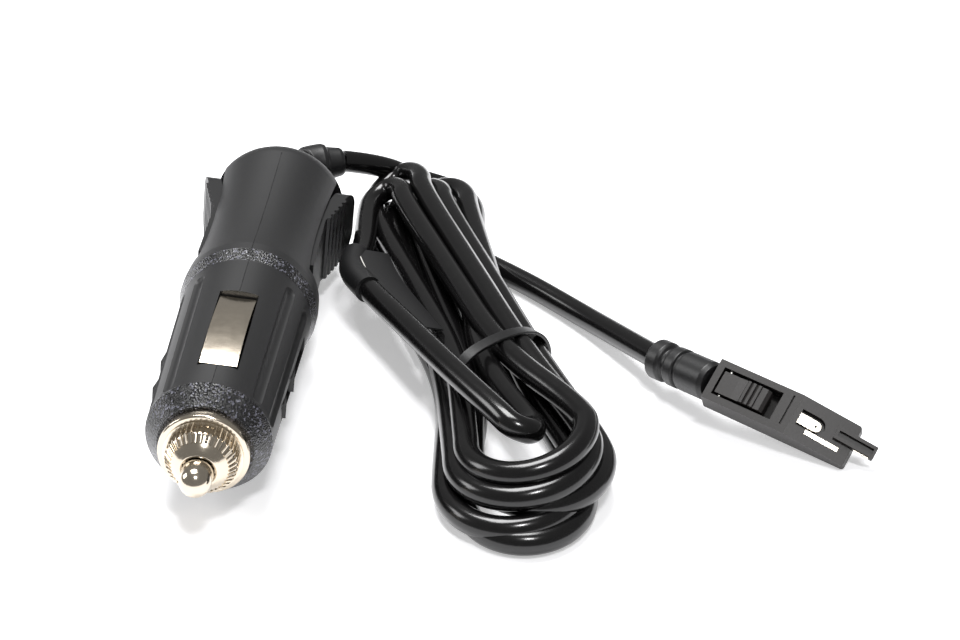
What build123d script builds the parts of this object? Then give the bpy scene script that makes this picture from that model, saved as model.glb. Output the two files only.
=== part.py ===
from build123d import *
import os
from math import cos, pi, radians, sin, tan

# A 12 V power lead for a dashboard device: a lighter-socket plug with squeeze levers and a
# replaceable fuse, a thin cable tied in a hank, and a flat latching device connector.
#
# Frame: +Z up, the lead lies on z = 0. The plug's axis runs along Y with its nose towards -Y,
# and the origin is under the middle of the plug. All sizes are millimetres.

os.makedirs("parts", exist_ok=True)

# ---- plug: stations are distances behind the front rim of its black body -----------------
PLUG_AXIS_HEIGHT = 12.28      # the fattest part of the barrel rests on the ground
PLUG_ROLL = 6.3               # the plug lies turned a little towards +X
FRAME_STATION = 33.7          # station that lies over the origin
NOSE_RADIUS = 10.0
COLLAR_FRONT, COLLAR_REAR = 39.5, 41.5
COLLAR_RADIUS = 11.85
TAPER_RADIUS = 11.12          # where the tapered nose meets the collar's chamfer
TAPER_END = 36.65
REAR_RADIUS = 12.25
BODY_REAR = 82.0
FRONT_FACE = -3.05            # flat front of the body, where the metal ring sits

SEAM_WIDTH, SEAM_DEPTH = 0.16, 0.18   # groove left where the two halves meet

FLUTE_RADIUS, FLUTE_DEPTH = 1.6, 0.5
FLUTE_ANGLES = (44, 70, 110, 136)
FLUTE_START, FLUTE_END = 1.6, 33.2

SLOT_HALF_WIDTH, SLOT_START, SLOT_END = 3.2, 5.2, 26.9
LEAF_WIDTH, LEAF_THICKNESS = 5.9, 0.4
LEAF_PIVOT = (26.2, 7.2)      # station and height of the ground leaf's pivot
SCREW_STATION, SCREW_HEIGHT = 38.0, -7.0
SCREW_RADIUS, SCREW_HEAD_RADIUS = 0.9, 1.6

# ---- fuse train --------------------------------------------------------------------------
FUSE_RADIUS, FUSE_FRONT, FUSE_LENGTH = 3.15, -4.0, 32.0
FUSE_CAP_LENGTH = 5.5
TUBE_BORE, TUBE_OUTER, TUBE_END = 3.55, 4.6, 37.0
TERMINAL_FRONT = 35.0
RING_NECK_RADIUS, RING_BORE = 6.2, 5.03
RING_FACE = -5.1
CAP_NECK_RADIUS, CAP_RADIUS = 4.95, 5.65
WASHER_THICKNESS = 0.3

# ---- squeeze levers ----------------------------------------------------------------------
LEVER_PIVOT = (7.6, 4.0)      # distance from the plug's axis, and station
LEVER_PIN_RADIUS = 0.8
ARM_INNER, ARM_OUTER, ARM_HALF = 7.6, 9.2, 1.3
PANEL_INNER, PANEL_OUTER, PANEL_HALF = 7.8, 10.0, 6.3
POCKET_HALF, POCKET_FLOOR, POCKET_START, POCKET_END = 6.7, 5.2, 44.0, 78.0
LEVER_SPRING_STATION = 56.0
LEVER_SPRING_OUTER, LEVER_SPRING_INNER = 1.9, 1.4

# ---- cable, hank and tie -----------------------------------------------------------------
CABLE_DIAMETER = 4.2
LEAD_IN = [(9.7, 62.7, 12.28), (16.2, 65.1, 10.6), (22.4, 70.7, 5.0), (30.5, 71.5, 2.1)]
LEAD_OUT = [(36.0, 44.5, 2.1), (46.5, 35.3, 2.1), (56.3, 24.7, 2.3), (63.3, 14.8, 3.9),
            (70.0, 4.4, 6.0)]
HANK_OUTLINE = [(16.0, 58.0), (18.5, 71.0), (30.5, 72.0), (37.8, 60.0), (51.8, 6.0),
                (64.0, -22.0), (61.5, -40.0), (51.0, -48.3), (39.5, -44.0), (33.0, -30.0),
                (31.5, -11.0), (15.5, 17.0), (12.7, 26.5), (15.3, 39.0)]
HANK_HEIGHT = 15.6
TIE_MIDDLE, TIE_HEADING, TIE_WIDTH, TIE_DEPTH = (43.3, -2.2), 45.7, 2.2, 0.7
LABEL_START, LABEL_END = 17.5, 28.5
BOOT_STRAIGHT, BOOT_BEND, BOOT_TURN, BOOT_END = 4.5, 9.0, 70.0, 4.0
WIRE_RADIUS, WIRE_BEND = 0.6, 1.5
POSITIVE_ROUTE = [(0, 39.5, 0), (0, 43.5, 0), (0, 49.0, -6.0), (0, 65.0, -6.0), (0, 71.0, -1.2),
                  (0, 79.3, -1.2)]
NEGATIVE_ROUTE = [(0, 27.6, 5.85), (0, 65.0, 5.85), (0, 71.0, 1.2), (0, 79.3, 1.2)]

# ---- device connector: its own frame is the rear middle of its top face -------------------
CONNECTOR_PLACE = (78.7, -6.73, 9.45)
CONNECTOR_HEADING, CONNECTOR_PITCH, CONNECTOR_ROLL = -28.0, -8.0, 34.8
SHELL_WIDTH, SHELL_TOP, SHELL_RAMP, RAMP_ANGLE = 7.5, 15.1, 10.8, 16.0
SHELL_REAR_DEPTH, SHELL_FRONT_DEPTH = 4.2, 4.7
SHELL_WALL = 0.9
BOOT_RADIUS = 3.5
BUTTON_PIVOT = (2.4, -0.9)      # forward and up, from the connector's own origin
LATCH_PIN_RADIUS, LATCH_PIN_HALF = 0.35, 3.4
LATCH_SPRING_PLACE = 8.4
CORD_ENTRY = -2.1              # height of the cable's entry under the top face
TONGUE_MIDDLE = 0.1            # the tongue and its recess lie a little off centre

plug_place = Pos(0, -FRAME_STATION, PLUG_AXIS_HEIGHT) * Rot(0, PLUG_ROLL, 0)
straight_place = Pos(0, -FRAME_STATION, PLUG_AXIS_HEIGHT)
connector_place = (Pos(*CONNECTOR_PLACE) * Rot(0, 0, CONNECTOR_HEADING)
                   * Rot(0, -CONNECTOR_PITCH, 0) * Rot(CONNECTOR_ROLL, 0, 0))
ramp_place = Pos(SHELL_TOP, 0, 0) * Rot(0, RAMP_ANGLE, 0)
SHELL_LENGTH = SHELL_TOP + SHELL_RAMP * cos(radians(RAMP_ANGLE))
SHELL_TIP_TOP = -SHELL_RAMP * sin(radians(RAMP_ANGLE))


def save(name, *shapes):
    """Write one node: a single solid, or several separate solids as a group."""
    solids = [solid for shape in shapes for solid in shape.solids()]
    node = solids[0] if len(solids) == 1 else Compound(children=solids)
    export_step(node, os.path.join("parts", name + ".step"))
    print(f"{name}: {len(solids)} solid(s), {sum(s.volume for s in solids):.1f} mm3")


def turned(*profile):
    """Solid of revolution about Y from (radius, station) points."""
    return revolve(make_face(Polyline(*profile, close=True)), Axis.Y, 360)


def block(x0, x1, y0, y1, z0, z1):
    return Pos((x0 + x1) / 2, (y0 + y1) / 2, (z0 + z1) / 2) * Box(x1 - x0, y1 - y0, z1 - z0)


def bar(start, end, radius):
    """Round bar between two points."""
    run = Vector(*end) - Vector(*start)
    base = Plane(origin=start, z_dir=run)
    return base.location * Cylinder(radius, run.length,
                                    align=(Align.CENTER, Align.CENTER, Align.MIN))


def rod_y(radius, start, end, x=0.0, z=0.0):
    return bar((x, start, z), (x, end, z), radius)


def nose_radius(station):
    return NOSE_RADIUS + (TAPER_RADIUS - NOSE_RADIUS) * station / TAPER_END


# ------------------------------------------------------------------------------------------
# Plug body: two moulded halves that meet on the vertical plane through the axis
# ------------------------------------------------------------------------------------------
def plug_outside():
    nose = Polyline((0, FRONT_FACE), (7.6, FRONT_FACE), (NOSE_RADIUS, 0),
                    (TAPER_RADIUS, TAPER_END), (COLLAR_RADIUS, COLLAR_FRONT),
                    (COLLAR_RADIUS, COLLAR_REAR))
    barrel = Spline((COLLAR_RADIUS, COLLAR_REAR), (11.35, 51.0), (11.4, 60.0), (11.8, 69.0),
                    (REAR_RADIUS, 75.5))
    dome = ThreePointArc((REAR_RADIUS, 75.5), (10.9, 79.8), (5.0, BODY_REAR))
    back = Polyline((5.0, BODY_REAR), (0, BODY_REAR), (0, FRONT_FACE))
    return revolve(make_face([*nose.edges(), *barrel.edges(), *dome.edges(), *back.edges()]),
                   Axis.Y, 360)


def plug_cavities():
    front = turned((TUBE_OUTER, 6.6), (8.6, 6.6), (9.35, 31.0), (TUBE_OUTER, 31.0))
    rear = turned((TUBE_OUTER, 32.6), (9.4, 32.6), (9.5, 36.6), (10.2, 39.5), (10.2, 41.5),
                  (9.75, 52.0), (9.8, 60.0), (10.2, 70.0), (10.6, 75.0), (9.2, 79.0),
                  (6.0, 80.2), (0, 80.2), (0, TUBE_END), (TUBE_OUTER, TUBE_END))
    return front, rear


def seam_groove():
    """Thin slab that cuts the parting groove along the body's top line, as seen from the side."""
    depth = SEAM_DEPTH
    front = FRONT_FACE + 0.4
    floor = Polyline((front, 14.0), (front, 7.9 - depth), (0, NOSE_RADIUS - depth),
                     (TAPER_END, TAPER_RADIUS - depth), (COLLAR_FRONT, COLLAR_RADIUS - depth),
                     (COLLAR_REAR, COLLAR_RADIUS - depth), (51.0, 11.35 - depth),
                     (60.0, 11.4 - depth), (69.0, 11.8 - depth), (75.0, REAR_RADIUS - depth),
                     (75.0, 14.0), (front, 14.0))
    side_view = Plane((-SEAM_WIDTH / 2, 0, 0), x_dir=(0, 1, 0), z_dir=(1, 0, 0))
    return extrude(side_view * make_face(floor), SEAM_WIDTH, dir=(1, 0, 0))


def flute(angle):
    """Cutter for one shallow groove along the tapered nose, round at both ends."""
    ends = []
    for station in (FLUTE_START, FLUTE_END):
        radius = nose_radius(station) + FLUTE_RADIUS - FLUTE_DEPTH
        ends.append((radius * sin(radians(angle)), station, radius * cos(radians(angle))))
    tips = [Pos(*end) * Rot(90, 0, 0) * Sphere(FLUTE_RADIUS) for end in ends]
    return bar(*ends, FLUTE_RADIUS) + tips[0] + tips[1]


def lever_room(side):
    """Space cut for one lever: pivot pocket, slot in the nose, passages and rear pocket."""
    def slab(x0, x1, y0, y1, half):
        return block(min(side * x0, side * x1), max(side * x0, side * x1), y0, y1, -half, half)
    return [slab(6.2, 9.4, 2.4, 31.0, 1.6), slab(9.0, 13.0, 8.0, 30.4, 1.6),
            slab(5.9, 9.7, 30.5, POCKET_START + 0.5, 1.7),
            slab(POCKET_FLOOR, 20.0, POCKET_START, POCKET_END, POCKET_HALF)]


def lever_pocket(side, outside):
    """Moulded tub round one lever's rear panel, with a cup for its spring."""
    tub = block(min(3.9 * side, 13 * side), max(3.9 * side, 13 * side), POCKET_START - 1.2,
                POCKET_END + 1.2, -POCKET_HALF - 1.2, POCKET_HALF + 1.2) & outside
    cup = bar((0.8 * side, LEVER_SPRING_STATION, 0), (5.2 * side, LEVER_SPRING_STATION, 0), 2.9)
    return tub + cup


def plug_halves():
    outside = plug_outside()
    front, rear = plug_cavities()
    body = outside - front - rear
    boss = bar((-11, SCREW_STATION, SCREW_HEIGHT), (11, SCREW_STATION, SCREW_HEIGHT), 2.2)
    body += boss & outside
    for side in (1, -1):
        body += lever_pocket(side, outside)
    cutters = [rod_y(RING_NECK_RADIUS, FRONT_FACE - 1, 5.0), rod_y(3.6, 4.0, 7.0),
               rod_y(TUBE_BORE, 6.0, TUBE_END + 1), rod_y(3.4, 79.0, BODY_REAR + 1),
               rod_y(0.8, 30.0, 34.0, z=5.85),
               block(-SLOT_HALF_WIDTH, SLOT_HALF_WIDTH, SLOT_START, SLOT_END, 7.4, 14.0),
               bar((-12, SCREW_STATION, SCREW_HEIGHT), (-6.2, SCREW_STATION, SCREW_HEIGHT),
                   SCREW_HEAD_RADIUS + 0.1),
               bar((-7, SCREW_STATION, SCREW_HEIGHT), (6.5, SCREW_STATION, SCREW_HEIGHT),
                   SCREW_RADIUS)]
    for side in (1, -1):
        cutters += lever_room(side)
        x = side * LEVER_PIVOT[0]
        cutters.append(bar((x, LEVER_PIVOT[1], -3.5), (x, LEVER_PIVOT[1], 3.5), LEVER_PIN_RADIUS))
        spring = LEVER_SPRING_STATION
        cutters.append(bar((1.2 * side, spring, 0), (6.0 * side, spring, 0), 2.15))
        cutters += [flute(side * angle) for angle in FLUTE_ANGLES]
    for cutter in cutters:
        body -= cutter
    body -= seam_groove()
    keep = block(0, 30, -20, 100, -30, 30)
    return body & keep, body & (Rot(0, 180, 0) * keep)


# ------------------------------------------------------------------------------------------
# Squeeze levers with their pins and springs
# ------------------------------------------------------------------------------------------
def pad_outline():
    """Rear panel and flared, ribbed finger pad, seen from above."""
    flare = radians(16.2)
    along, across = (sin(flare), cos(flare)), (cos(flare), -sin(flare))
    start = (PANEL_OUTER, 62.5)

    def on_pad(distance, out=0.0):
        return (start[0] + along[0] * distance + across[0] * out,
                start[1] + along[1] * distance + across[1] * out)
    points = [(PANEL_INNER, 46.0), (PANEL_OUTER, 46.0), start]
    for rib in range(5):
        first = 0.9 + 1.7 * rib
        points += [on_pad(first, 0.0), on_pad(first + 0.25, 0.45), on_pad(first + 1.0, 0.45),
                   on_pad(first + 1.25, 0.0)]
    points += [on_pad(14.2, 0.0), on_pad(14.2, -2.7), (PANEL_INNER, 61.6)]
    return points


def lever():
    """The +X lever, in the plug's own frame: boss, toothed arm, panel and finger pad."""
    pivot_x, pivot_y = LEVER_PIVOT
    arm = [(ARM_INNER, 4.0), (ARM_OUTER - 0.4, 4.2), (ARM_OUTER, 9.5), (10.75, 9.7),
           (9.5, 17.4), (10.95, 17.6), (9.6, 29.5), (ARM_OUTER, 31.0), (ARM_OUTER, 47.0),
           (ARM_INNER, 47.0)]
    body = Pos(0, 0, -ARM_HALF) * extrude(make_face(Polyline(*arm, close=True)), 2 * ARM_HALF)
    body += bar((pivot_x, pivot_y, -ARM_HALF), (pivot_x, pivot_y, ARM_HALF), 1.25)
    pad = extrude(make_face(Polyline(*pad_outline(), close=True)), 2 * PANEL_HALF)
    body += Pos(0, 0, -PANEL_HALF) * pad
    corners = RectangleRounded(60, 2 * PANEL_HALF, 4)
    window = Rot(0, 90, 0) * extrude(Rot(0, 0, 90) * corners, 40)
    body &= Pos(0, 76.2 - 30, 0) * window + block(0, 40, 0, 50, -PANEL_HALF, PANEL_HALF)
    body -= bar((pivot_x, pivot_y, -5), (pivot_x, pivot_y, 5), LEVER_PIN_RADIUS + 0.05)
    spring = LEVER_SPRING_STATION
    return body - bar((PANEL_INNER - 1, spring, 0), (PANEL_INNER + 0.5, spring, 0), 2.1)


def spring_tube(start, end, outer, inner):
    return bar(start, end, outer) - bar(start, end, inner)


# ------------------------------------------------------------------------------------------
# Nose: ring, washer, screwed cap, contact tip, fuse, springs and terminals
# ------------------------------------------------------------------------------------------
def nose_ring():
    return turned((7.18, RING_FACE + 0.25), (6.95, RING_FACE), (RING_BORE, RING_FACE),
                  (RING_BORE, 1.0), (3.6, 1.0), (3.6, 5.0), (RING_NECK_RADIUS, 5.0),
                  (RING_NECK_RADIUS, FRONT_FACE), (7.18, FRONT_FACE))


def cap_washer():
    rear = RING_FACE
    return turned((CAP_NECK_RADIUS + 0.1, rear - WASHER_THICKNESS), (6.3, rear - WASHER_THICKNESS),
                  (6.3, rear), (CAP_NECK_RADIUS + 0.1, rear))


def nose_cap():
    rim = RING_FACE - WASHER_THICKNESS
    return turned((3.65, 0.6), (CAP_NECK_RADIUS, 0.6), (CAP_NECK_RADIUS, rim), (CAP_RADIUS, rim),
                  (CAP_RADIUS, -7.1), (4.6, -8.4), (3.7, -9.3), (2.7, -9.7), (2.7, -8.3),
                  (3.65, -8.3))


def contact_tip():
    profile = [*Polyline((0, -4.0), (0, -14.6)).edges(),
               *ThreePointArc((0, -14.6), (1.75, -13.9), (2.5, -12.1)).edges(),
               *Polyline((2.5, -12.1), (2.5, -7.9), (3.45, -7.9), (3.45, -6.4), (2.0, -6.4),
                         (2.0, -4.0), (0, -4.0)).edges()]
    return revolve(make_face(profile), Axis.Y, 360)


def fuse_cap(end, inward):
    """Metal end cap of the glass fuse; inward is +1 for the front cap, -1 for the rear."""
    return turned((0, end), (FUSE_RADIUS, end), (FUSE_RADIUS, end + inward * FUSE_CAP_LENGTH),
                  (2.9, end + inward * FUSE_CAP_LENGTH), (2.9, end + inward * 0.5),
                  (0, end + inward * 0.5))


def fuse_glass():
    first, last = FUSE_FRONT + 0.5, FUSE_FRONT + FUSE_LENGTH - 0.5
    return turned((2.2, first), (2.9, first), (2.9, last), (2.2, last))


def rear_terminal():
    back = TERMINAL_FRONT + 0.8
    return (turned((0, TERMINAL_FRONT), (TUBE_BORE, TERMINAL_FRONT), (TUBE_BORE, back), (0, back))
            + block(-0.4, 0.4, back, 39.5, -1.5, 1.5))


def ground_leaf():
    """Sprung side contact: a bowed strip with a leg that ends in an eye round its pin."""
    half = LEAF_WIDTH / 2
    station, height = LEAF_PIVOT
    top = ThreePointArc((5.7, 9.85), (17.0, 10.9), (26.0, 10.0))
    under = ThreePointArc((25.9, 10.0 - LEAF_THICKNESS), (17.0, 10.9 - LEAF_THICKNESS),
                          (5.7, 9.85 - LEAF_THICKNESS))
    rim = Polyline((26.0, 10.0), (26.45, 9.7), (26.45, height), (26.05, height), (26.05, 9.6),
                   (25.9, 9.6))
    nose = Polyline((5.7, 9.85 - LEAF_THICKNESS), (5.7, 9.85))
    outline = [*top.edges(), *rim.edges(), *under.edges(), *nose.edges()]
    side_view = Plane((0, 0, 0), x_dir=(0, 1, 0), z_dir=(1, 0, 0)) * make_face(outline)
    strip = Pos(-half, 0, 0) * extrude(side_view, LEAF_WIDTH, dir=(1, 0, 0))
    strip -= block(-4, 4, station - 2, station + 2, height - 2, height + 0.9)
    leg = block(-2.3, 2.3, 26.05, 26.45, height, height + 1.0)
    eye = bar((-2.3, station, height), (2.3, station, height), 0.8)
    return strip + leg + eye - bar((-3, station, height), (3, station, height), 0.45)


def ground_clip():
    """Bracket that carries the leaf's pin on the fuse tube and takes the return wire."""
    station, height = LEAF_PIVOT
    base = block(-3.1, 3.1, 24.0, 28.5, TUBE_OUTER, TUBE_OUTER + 0.6)
    for side in (-1, 1):
        base += block(min(2.5 * side, 3.1 * side), max(2.5 * side, 3.1 * side), 25.2, 27.2,
                      TUBE_OUTER + 0.4, height + 0.5)
    return base + bar((-3.1, station, height), (3.1, station, height), 0.4)


def case_screw():
    head_front = (-7.4, SCREW_STATION, SCREW_HEIGHT)
    shank_start = (-6.2, SCREW_STATION, SCREW_HEIGHT)
    head = bar(head_front, shank_start, SCREW_HEAD_RADIUS) - block(-8.0, -6.9, SCREW_STATION - 1.3,
                                                     SCREW_STATION + 1.3, SCREW_HEIGHT - 0.2,
                                                     SCREW_HEIGHT + 0.2)
    return head + bar(shank_start, (6.5, SCREW_STATION, SCREW_HEIGHT), SCREW_RADIUS)


def wire(points):
    path = FilletPolyline(*points, radius=WIRE_BEND)
    start = Plane(origin=points[0], z_dir=path % 0)
    return sweep(start * Circle(WIRE_RADIUS), path=path)


# ------------------------------------------------------------------------------------------
# Strain relief, cable, hank, tie and label
# ------------------------------------------------------------------------------------------
def plug_strain_relief():
    """Ringed boot at the plug's rear: it turns towards +X and ends where the cable starts."""
    rear = BODY_REAR
    turn = radians(BOOT_TURN)
    bend_start = Vector(0, rear + BOOT_STRAIGHT, 0)
    bend_end = bend_start + Vector(BOOT_BEND * (1 - cos(turn)), BOOT_BEND * sin(turn), 0)
    end = bend_end + Vector(sin(turn), cos(turn), 0) * BOOT_END
    half = turn / 2
    bend_middle = bend_start + Vector(BOOT_BEND * (1 - cos(half)), BOOT_BEND * sin(half), 0)
    path = Curve() + [Line((0, rear - 2, 0), bend_start),
                      ThreePointArc(bend_start, bend_middle, bend_end), Line(bend_end, end)]
    core = sweep(Plane(origin=(0, rear - 2, 0), z_dir=(0, 1, 0)) * Circle(3.0), path=path)
    core += rod_y(3.4, 80.2, rear + 0.4) + rod_y(4.2, 79.3, 80.2)
    for angle, radius in ((0, 4.0), (24, 4.0), (48, 3.8), (70, 3.5)):
        a = radians(angle)
        middle = bend_start + Vector(BOOT_BEND * (1 - cos(a)), BOOT_BEND * sin(a), 0)
        along = Vector(sin(a), cos(a), 0)
        core += bar(tuple(middle - along * 0.9), tuple(middle + along * 0.9), radius)
    return core


def corner_radii(corners):
    """Largest smooth radius at each corner between the first and the last point."""
    corners = [Vector(*p) for p in corners]
    radii = []
    for before, here, after in zip(corners, corners[1:], corners[2:]):
        run_in, run_out = here - before, after - here
        half_turn = radians(run_in.get_angle(run_out)) / 2
        radii.append(0.45 * min(run_in.length, run_out.length) / tan(half_turn))
    return radii


def cable(points):
    """Plain tube along a free stretch of cable, each arc as large as its runs allow."""
    radii = corner_radii(points)
    path = FilletPolyline(*points, radius=radii)
    tube = sweep(Plane(origin=points[0], z_dir=path % 0) * Circle(CABLE_DIAMETER / 2), path=path)
    expected = path.length * (CABLE_DIAMETER / 2) ** 2 * pi
    print("cable radii", [round(r, 1) for r in radii], "length", round(path.length, 1),
          "volume ratio", round(tube.volume / expected, 3))
    return tube


def hank_form(inset=0.0):
    """Outer shape of the hank, pulled in all round by inset."""
    around = [HANK_OUTLINE[-1], *HANK_OUTLINE, HANK_OUTLINE[0]]
    outline = make_face(FilletPolyline(*HANK_OUTLINE, radius=corner_radii(around), close=True))
    if inset:
        outline = offset(outline, -inset)
    form = Pos(0, 0, inset) * extrude(outline, HANK_HEIGHT - 2 * inset)
    return fillet(form.faces().sort_by(Axis.Z)[-1].edges(), 3.5 - inset)


def hank_and_wraps():
    """The hank with shallow seats for its tie and its label, and those two pieces."""
    whole, core = hank_form(), hank_form(TIE_DEPTH)
    rind = whole - core
    tie_slab = Pos(*TIE_MIDDLE, HANK_HEIGHT / 2) * Rot(0, 0, TIE_HEADING) * Box(60, TIE_WIDTH, 30)
    label_block = block(5, 21.5, LABEL_START, LABEL_END, 4.0, 30)
    tie, label = rind & tie_slab, rind & label_block
    return whole - tie - label, tie, label


# ------------------------------------------------------------------------------------------
# Device connector, in its own frame: X towards its front, Y across, Z out of its top face
# ------------------------------------------------------------------------------------------
def side_profile(points):
    """Solid with this outline seen from the side, as wide as the shell."""
    side_plane = Plane((0, SHELL_WIDTH / 2, 0), x_dir=(1, 0, 0), z_dir=(0, -1, 0))
    return extrude(side_plane * make_face(Polyline(*points, close=True)), SHELL_WIDTH)


def shell_block():
    form = side_profile([(0, 0), (SHELL_TOP, 0), (SHELL_LENGTH, SHELL_TIP_TOP),
                         (SHELL_LENGTH, -SHELL_FRONT_DEPTH), (0, -SHELL_REAR_DEPTH)])
    upright = [e for e in form.edges().filter_by(Axis.Z) if e.center().X > SHELL_LENGTH - 0.1]
    return fillet(upright, 0.5)


def tab(rear, front, middle, half, low, high):
    """Flat bar along the ramp with a round front end."""
    end = Pos(front - half, middle, (low + high) / 2) * Cylinder(half, high - low)
    return block(rear, front - half, middle - half, middle + half, low, high) + end


def contact_tongue():
    """Springy flat contact with a round end and a small hole near it."""
    tongue = tab(1.0, 5.0, TONGUE_MIDDLE, 0.9, -0.75, -0.45)
    return tongue - Pos(4.1, TONGUE_MIDDLE, -0.6) * Cylinder(0.22, 1.0)


def connector_shells():
    """Tray and cover, parted on a plane that drops towards the front."""
    form = shell_block()
    below = side_profile([(-1, -2.35), (SHELL_LENGTH + 1, -3.95), (SHELL_LENGTH + 1, -9), (-1, -9)])
    half = SHELL_WIDTH / 2
    room = block(SHELL_WALL + 0.3, 14.2, -half + SHELL_WALL, half - SHELL_WALL, -3.3, -SHELL_WALL)
    window = block(1.2, 12.0, -2.5, 2.6, -2.0, 1.0)
    slit = block(13.65, 13.95, -2.5, 3.0, -0.5, 1.0)
    bay = ramp_place * tab(1.0, 5.6, TONGUE_MIDDLE, 1.5, -1.0, 1.0)
    channel = ramp_place * block(7.3, 12.0, -0.4, 1.8, -0.7, 1.0)
    strip_seat = ramp_place * block(2.9, 8.9, -2.1, -1.3, -0.35, 1.0)
    hollowed = form - room - window - slit - bay - channel - strip_seat
    hollowed -= bar((-1, 0, CORD_ENTRY), (1.5, 0, CORD_ENTRY), 1.5)
    hollowed -= latch_pin()
    hollowed -= block(14.0, 17.5, -0.9, 0.9, -2.6, -1.7)
    return hollowed & below, hollowed - below


def latch_pin():
    pivot_x, pivot_z = BUTTON_PIVOT
    return bar((pivot_x, -LATCH_PIN_HALF, pivot_z), (pivot_x, LATCH_PIN_HALF, pivot_z),
               LATCH_PIN_RADIUS)


def latch_button():
    """Push piece in the top window: it turns about a pin at its rear when its front is pressed."""
    profile = [(1.6, -1.25), (1.6, 0.0), (4.4, 0.0), (5.9, 0.15)]
    for rib in range(3):
        start = 5.9 + 0.95 * rib
        profile += [(start + 0.15, 0.4), (start + 0.6, 0.4), (start + 0.75, 0.15)]
    profile += [(9.6, 0.15), (10.2, -0.3), (10.4, -1.25)]
    side_plane = Plane((0, 2.0, 0), x_dir=(1, 0, 0), z_dir=(0, -1, 0))
    button = extrude(side_plane * make_face(Polyline(*profile, close=True)), 4.0)
    pivot_x, pivot_z = BUTTON_PIVOT
    return button - bar((pivot_x, -3, pivot_z), (pivot_x, 3, pivot_z), 0.4)


def key_rib():
    """Guide rib that sticks out past the connector's front, with a groove along its top."""
    return block(7.3, 14.5, -0.4, 1.8, -0.7, 0.75) - block(7.8, 14.0, 0.2, 1.2, 0.1, 1.0)


def connector_boot():
    """Ringed boot between the cable and the connector's rear face."""
    start = Vector(*LEAD_OUT[-1])
    entry = (connector_place * Pos(0, 0, CORD_ENTRY)).position
    along = (entry - start).normalized()
    length = (entry - start).length

    def ring(first, last, radius):
        return bar(tuple(start + along * first), tuple(start + along * last), radius)
    boot = ring(0, length + 1.5, 2.7) + ring(0.3, 3.2, BOOT_RADIUS)
    boot += ring(4.3, length + 1.5, BOOT_RADIUS - 0.1)
    behind = connector_place * block(-30, 0, -20, 20, -20, 20)
    stub = connector_place * bar((-1.0, 0, CORD_ENTRY), (1.2, 0, CORD_ENTRY), 1.5)
    return (boot & behind) + stub


# ------------------------------------------------------------------------------------------
# Build and write every node
# ------------------------------------------------------------------------------------------
def save_plug(name, *shapes):
    save(name, *[plug_place * shape for shape in shapes])


def build_plug():
    right, left = plug_halves()
    save_plug("body_half_right", right)
    save_plug("body_half_left", left)
    right_lever = lever()
    save_plug("lever_right", right_lever)
    save_plug("lever_left", mirror(right_lever, about=Plane.YZ))
    pins = [bar((x, LEVER_PIVOT[1], -3.5), (x, LEVER_PIVOT[1], 3.5), LEVER_PIN_RADIUS)
            for x in (LEVER_PIVOT[0], -LEVER_PIVOT[0])]
    save_plug("lever_pins", *pins)
    for side, name in ((1, "right"), (-1, "left")):
        ends = [(side * x, LEVER_SPRING_STATION, 0) for x in (1.25, PANEL_INNER + 0.45)]
        save_plug("lever_spring_" + name, spring_tube(*ends, LEVER_SPRING_OUTER,
                                                     LEVER_SPRING_INNER))
    save_plug("nose_ring", nose_ring())
    save_plug("cap_washer", cap_washer())
    save_plug("nose_cap", nose_cap())
    save_plug("contact_tip", contact_tip())
    fuse_rear = FUSE_FRONT + FUSE_LENGTH
    save_plug("fuse_cap_front", fuse_cap(FUSE_FRONT, 1))
    save_plug("fuse_cap_rear", fuse_cap(fuse_rear, -1))
    save_plug("fuse_glass", fuse_glass())
    save_plug("fuse_wire", rod_y(0.15, FUSE_FRONT + 0.5, fuse_rear - 0.5))
    save_plug("fuse_spring", spring_tube((0, fuse_rear, 0), (0, TERMINAL_FRONT, 0), 3.0, 2.4))
    save_plug("rear_terminal", rear_terminal())
    save_plug("ground_leaf", ground_leaf())
    save_plug("ground_clip", ground_clip())
    save_plug("case_screw", case_screw())
    save_plug("positive_wire", wire(POSITIVE_ROUTE))
    save_plug("negative_wire", wire(NEGATIVE_ROUTE))
    save("plug_strain_relief", straight_place * plug_strain_relief())


def build_cord():
    save("cord_lead_in", cable(LEAD_IN))
    save("cord_lead_out", cable(LEAD_OUT))
    hank, tie, label = hank_and_wraps()
    save("cord_hank", hank)
    save("hank_tie", tie)
    save("cord_label", label)


def build_connector():
    base, cover = connector_shells()
    spring = LATCH_SPRING_PLACE
    pieces = {
        "connector_base": base,
        "connector_cover": cover,
        "latch_button": latch_button(),
        "latch_pin": latch_pin(),
        "latch_spring": spring_tube((spring, 0, -3.3), (spring, 0, -1.25), 0.9, 0.6),
        "contact_tongue": ramp_place * contact_tongue(),
        "contact_strip": ramp_place * block(2.9, 8.9, -2.1, -1.3, -0.35, -0.05),
        "key_rib": ramp_place * key_rib(),
        "key_contact": ramp_place * block(11.1, 13.8, -0.65, -0.4, 0.1, 0.4),
    }
    for name, shape in pieces.items():
        save(name, connector_place * shape)
    save("connector_boot", connector_boot())


build_plug()
build_cord()
build_connector()
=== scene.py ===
from math import cos, pi, radians, sin
import bmesh
import bpy
from mathutils import Matrix, Vector


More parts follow.
